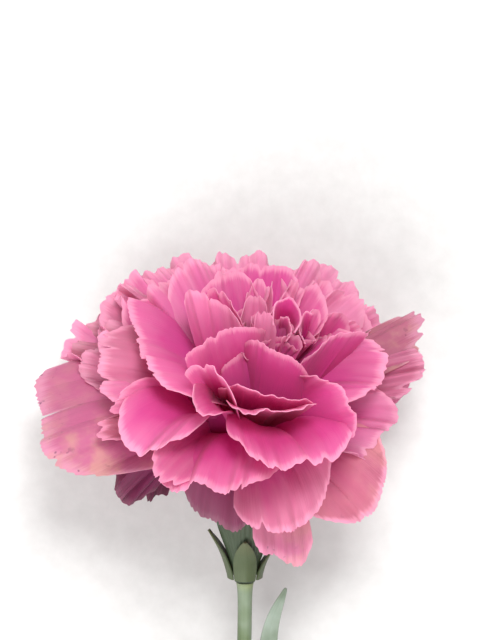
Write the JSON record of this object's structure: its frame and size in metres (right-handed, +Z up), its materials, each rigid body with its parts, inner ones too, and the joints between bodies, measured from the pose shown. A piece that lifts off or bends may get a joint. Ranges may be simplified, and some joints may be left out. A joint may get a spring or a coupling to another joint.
{
  "type": "cut carnation",
  "caption": "Cut carnation lying on its side: full double bloom of ruffled, tooth-edged petals, tubular calyx, jointed stem with paired narrow leaves.",
  "frame": {"origin": "the spot under the bloom where its lowest petals are pressed flat on the surface that the flower lies on", "axes": "+Y up the flower, from the cut end toward the bloom; +Z up from the surface; +X to the right seen from above with the bloom away"},
  "size_m": [0.0794, 0.1925, 0.0665],
  "materials": {
    "petals": "soft satin petal",
    "calyx": "smooth waxy",
    "ovary": "smooth",
    "bracts": "smooth waxy",
    "stem": "waxy green",
    "leaves": "matt grey-green wax"
  },
  "bodies": {
    "root": {"petals": "petals", "calyx": "calyx", "ovary": "ovary", "bract_left": "bracts", "bract_right": "bracts", "bract_upper": "bracts", "bract_lower": "bracts", "stem": "stem", "leaf_near_right": "leaves", "leaf_near_left": "leaves", "leaf_far_right": "leaves", "leaf_far_left": "leaves"}
  },
  "joints": []
}
